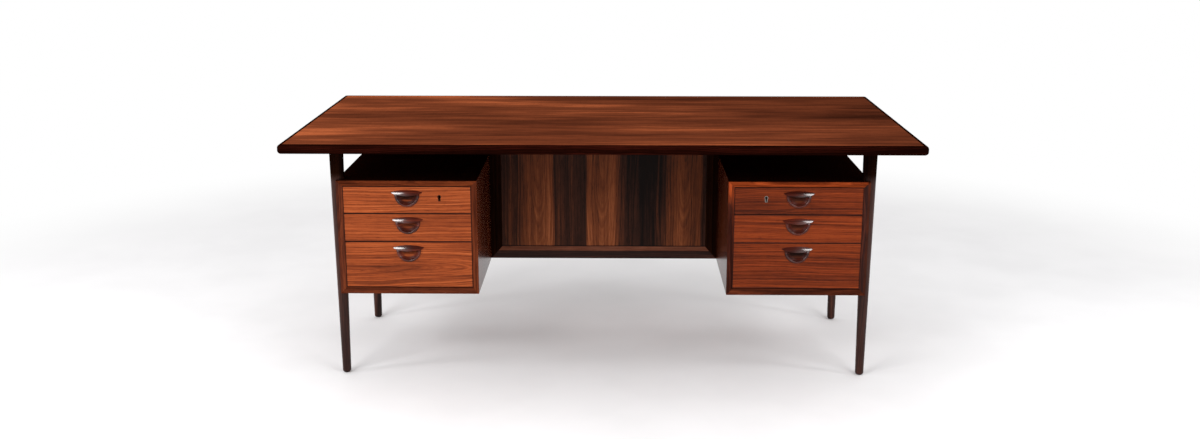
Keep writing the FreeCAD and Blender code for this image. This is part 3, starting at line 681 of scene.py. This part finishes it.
FLOOR_SIZE = 80.0
FLOOR_COLOUR, SPECKLE_SHARE = srgb(250, 249, 250), 0.96
SPECKLE_WAVES, SPECKLE_LEVELS = (3.0, 3.0, 3.0), (-0.2, 0.2)
FLOOR_ROUGHNESS, FLOOR_SPECULAR = 0.85, 0.1
FADE_START, FADE_END = 1.9, 3.2


def floor_material():
    """A plain pale floor that turns white some way off."""
    material = bpy.data.materials.new("pale_floor")
    shader = Shader(material)
    speckle = shader.steps(shader.noise(shader.place(), SPECKLE_WAVES, detail=3), *SPECKLE_LEVELS)
    shader.put("Base Color", shader.blend(speckle, FLOOR_COLOUR, darker(FLOOR_COLOUR, SPECKLE_SHARE)))
    shader.put("Roughness", FLOOR_ROUGHNESS)
    shader.put("Specular IOR Level", FLOOR_SPECULAR)
    far = shader.steps(shader.length(shader.place()), FADE_START, FADE_END)
    white = shader.node("Emission")
    mix = shader.node("MixShader")
    shader.feed(mix.inputs[0], shader.math("MULTIPLY", far, shader.seen()))
    shader.feed(mix.inputs[1], shader.surface.outputs[0])
    shader.feed(mix.inputs[2], white.outputs[0])
    shader.feed(shader.tree.nodes["Material Output"].inputs["Surface"], mix.outputs[0])
    return material


def pale_floor():
    half = FLOOR_SIZE / 2
    corners = [(-half, -half, 0), (half, -half, 0), (half, half, 0), (-half, half, 0)]
    mesh = bpy.data.meshes.new("floor")
    mesh.from_pydata(corners, [], [(0, 1, 2, 3)])
    mesh.materials.append(floor_material())
    floor = bpy.data.objects.new("floor", mesh)
    bpy.context.scene.collection.objects.link(floor)


pale_floor()


# Light

ROOM_FRONT, ROOM_BACK, ROOM_TURN = 0.3, 1.0, (-0.6, 0.6)
BACKDROP_FADE = (0.5, 0.35)

# Each lamp's place, the point that it faces, its width and height, and its watts
LAMPS = {
    "key_left": ((-2.35, -2.8, 2.25), (-0.4, 0.0, 0.5), (1.9, 1.0), 69),
    "fill_right": ((2.45, -2.8, 2.25), (0.4, 0.0, 0.5), (1.9, 1.0), 49),
    "side_left": ((-3.2, -1.1, 1.95), (-0.55, -0.28, 0.55), (0.42, 1.8), 18),
    "side_right": ((3.2, -1.1, 1.95), (0.55, -0.28, 0.55), (0.42, 1.8), 16),
    "overhead": ((0.0, -0.8, 3.4), (0.0, -0.1, 0.7), (4.0, 2.4), 22),
}


def sky():
    """A room that is dimmer in front of the desk than behind it, with a white backdrop at the horizon."""
    world = bpy.data.worlds.new("studio")
    bpy.context.scene.world = world
    shader = Shader(world, "Background")
    _, y, z = shader.split(shader.node("TexCoord").outputs["Generated"])
    room = shader.sum(ROOM_FRONT, (ROOM_BACK - ROOM_FRONT, shader.steps(y, *ROOM_TURN)))
    backdrop = shader.math("MULTIPLY", shader.seen(), shader.steps(z, *BACKDROP_FADE))
    lift = shader.math("MULTIPLY", backdrop, shader.math("SUBTRACT", 1.0, room))
    shader.put("Color", (1.0, 1.0, 1.0, 1.0))
    shader.put("Strength", shader.math("ADD", room, lift))


def soft_light(name, place, target, size, watts):
    data = bpy.data.lights.new(name, "AREA")
    data.shape = "RECTANGLE"
    data.size, data.size_y = size
    data.energy = watts
    lamp = bpy.data.objects.new(name, data)
    lamp.location = place
    lamp.rotation_mode = "QUATERNION"
    lamp.rotation_quaternion = (Vector(target) - Vector(place)).to_track_quat("-Z", "Y")
    bpy.context.scene.collection.objects.link(lamp)


sky()
for lamp_name, settings in LAMPS.items():
    soft_light(lamp_name, *settings)


# Camera, at the photograph's place. Angles are in radians, and pixels are the photograph's.

PHOTO_WIDTH, PHOTO_HEIGHT = 1200, 439
FOCAL_PIXELS = 1246.2
AXIS_PIXEL = (598.9, 202.8)
SENSOR_WIDTH_MM = 36.0
CAMERA_PLACE = Vector((0.038, -3.815, 1.4029))
CAMERA_YAW, CAMERA_PITCH = 0.0137, 0.24


def photo_camera():
    data = bpy.data.cameras.new("photo_camera")
    data.sensor_width = SENSOR_WIDTH_MM
    data.lens = FOCAL_PIXELS / PHOTO_WIDTH * SENSOR_WIDTH_MM
    data.shift_x = (PHOTO_WIDTH / 2 - AXIS_PIXEL[0]) / PHOTO_WIDTH
    data.shift_y = (AXIS_PIXEL[1] - PHOTO_HEIGHT / 2) / PHOTO_WIDTH
    camera = bpy.data.objects.new("photo_camera", data)
    turn = Matrix.Rotation(CAMERA_YAW, 4, "Z")
    tilt = Matrix.Rotation(math.pi / 2 - CAMERA_PITCH, 4, "X")
    camera.matrix_world = Matrix.Translation(CAMERA_PLACE) @ turn @ tilt
    bpy.context.scene.collection.objects.link(camera)
    bpy.context.scene.camera = camera


photo_camera()
bpy.context.scene.view_settings.view_transform = "Standard"
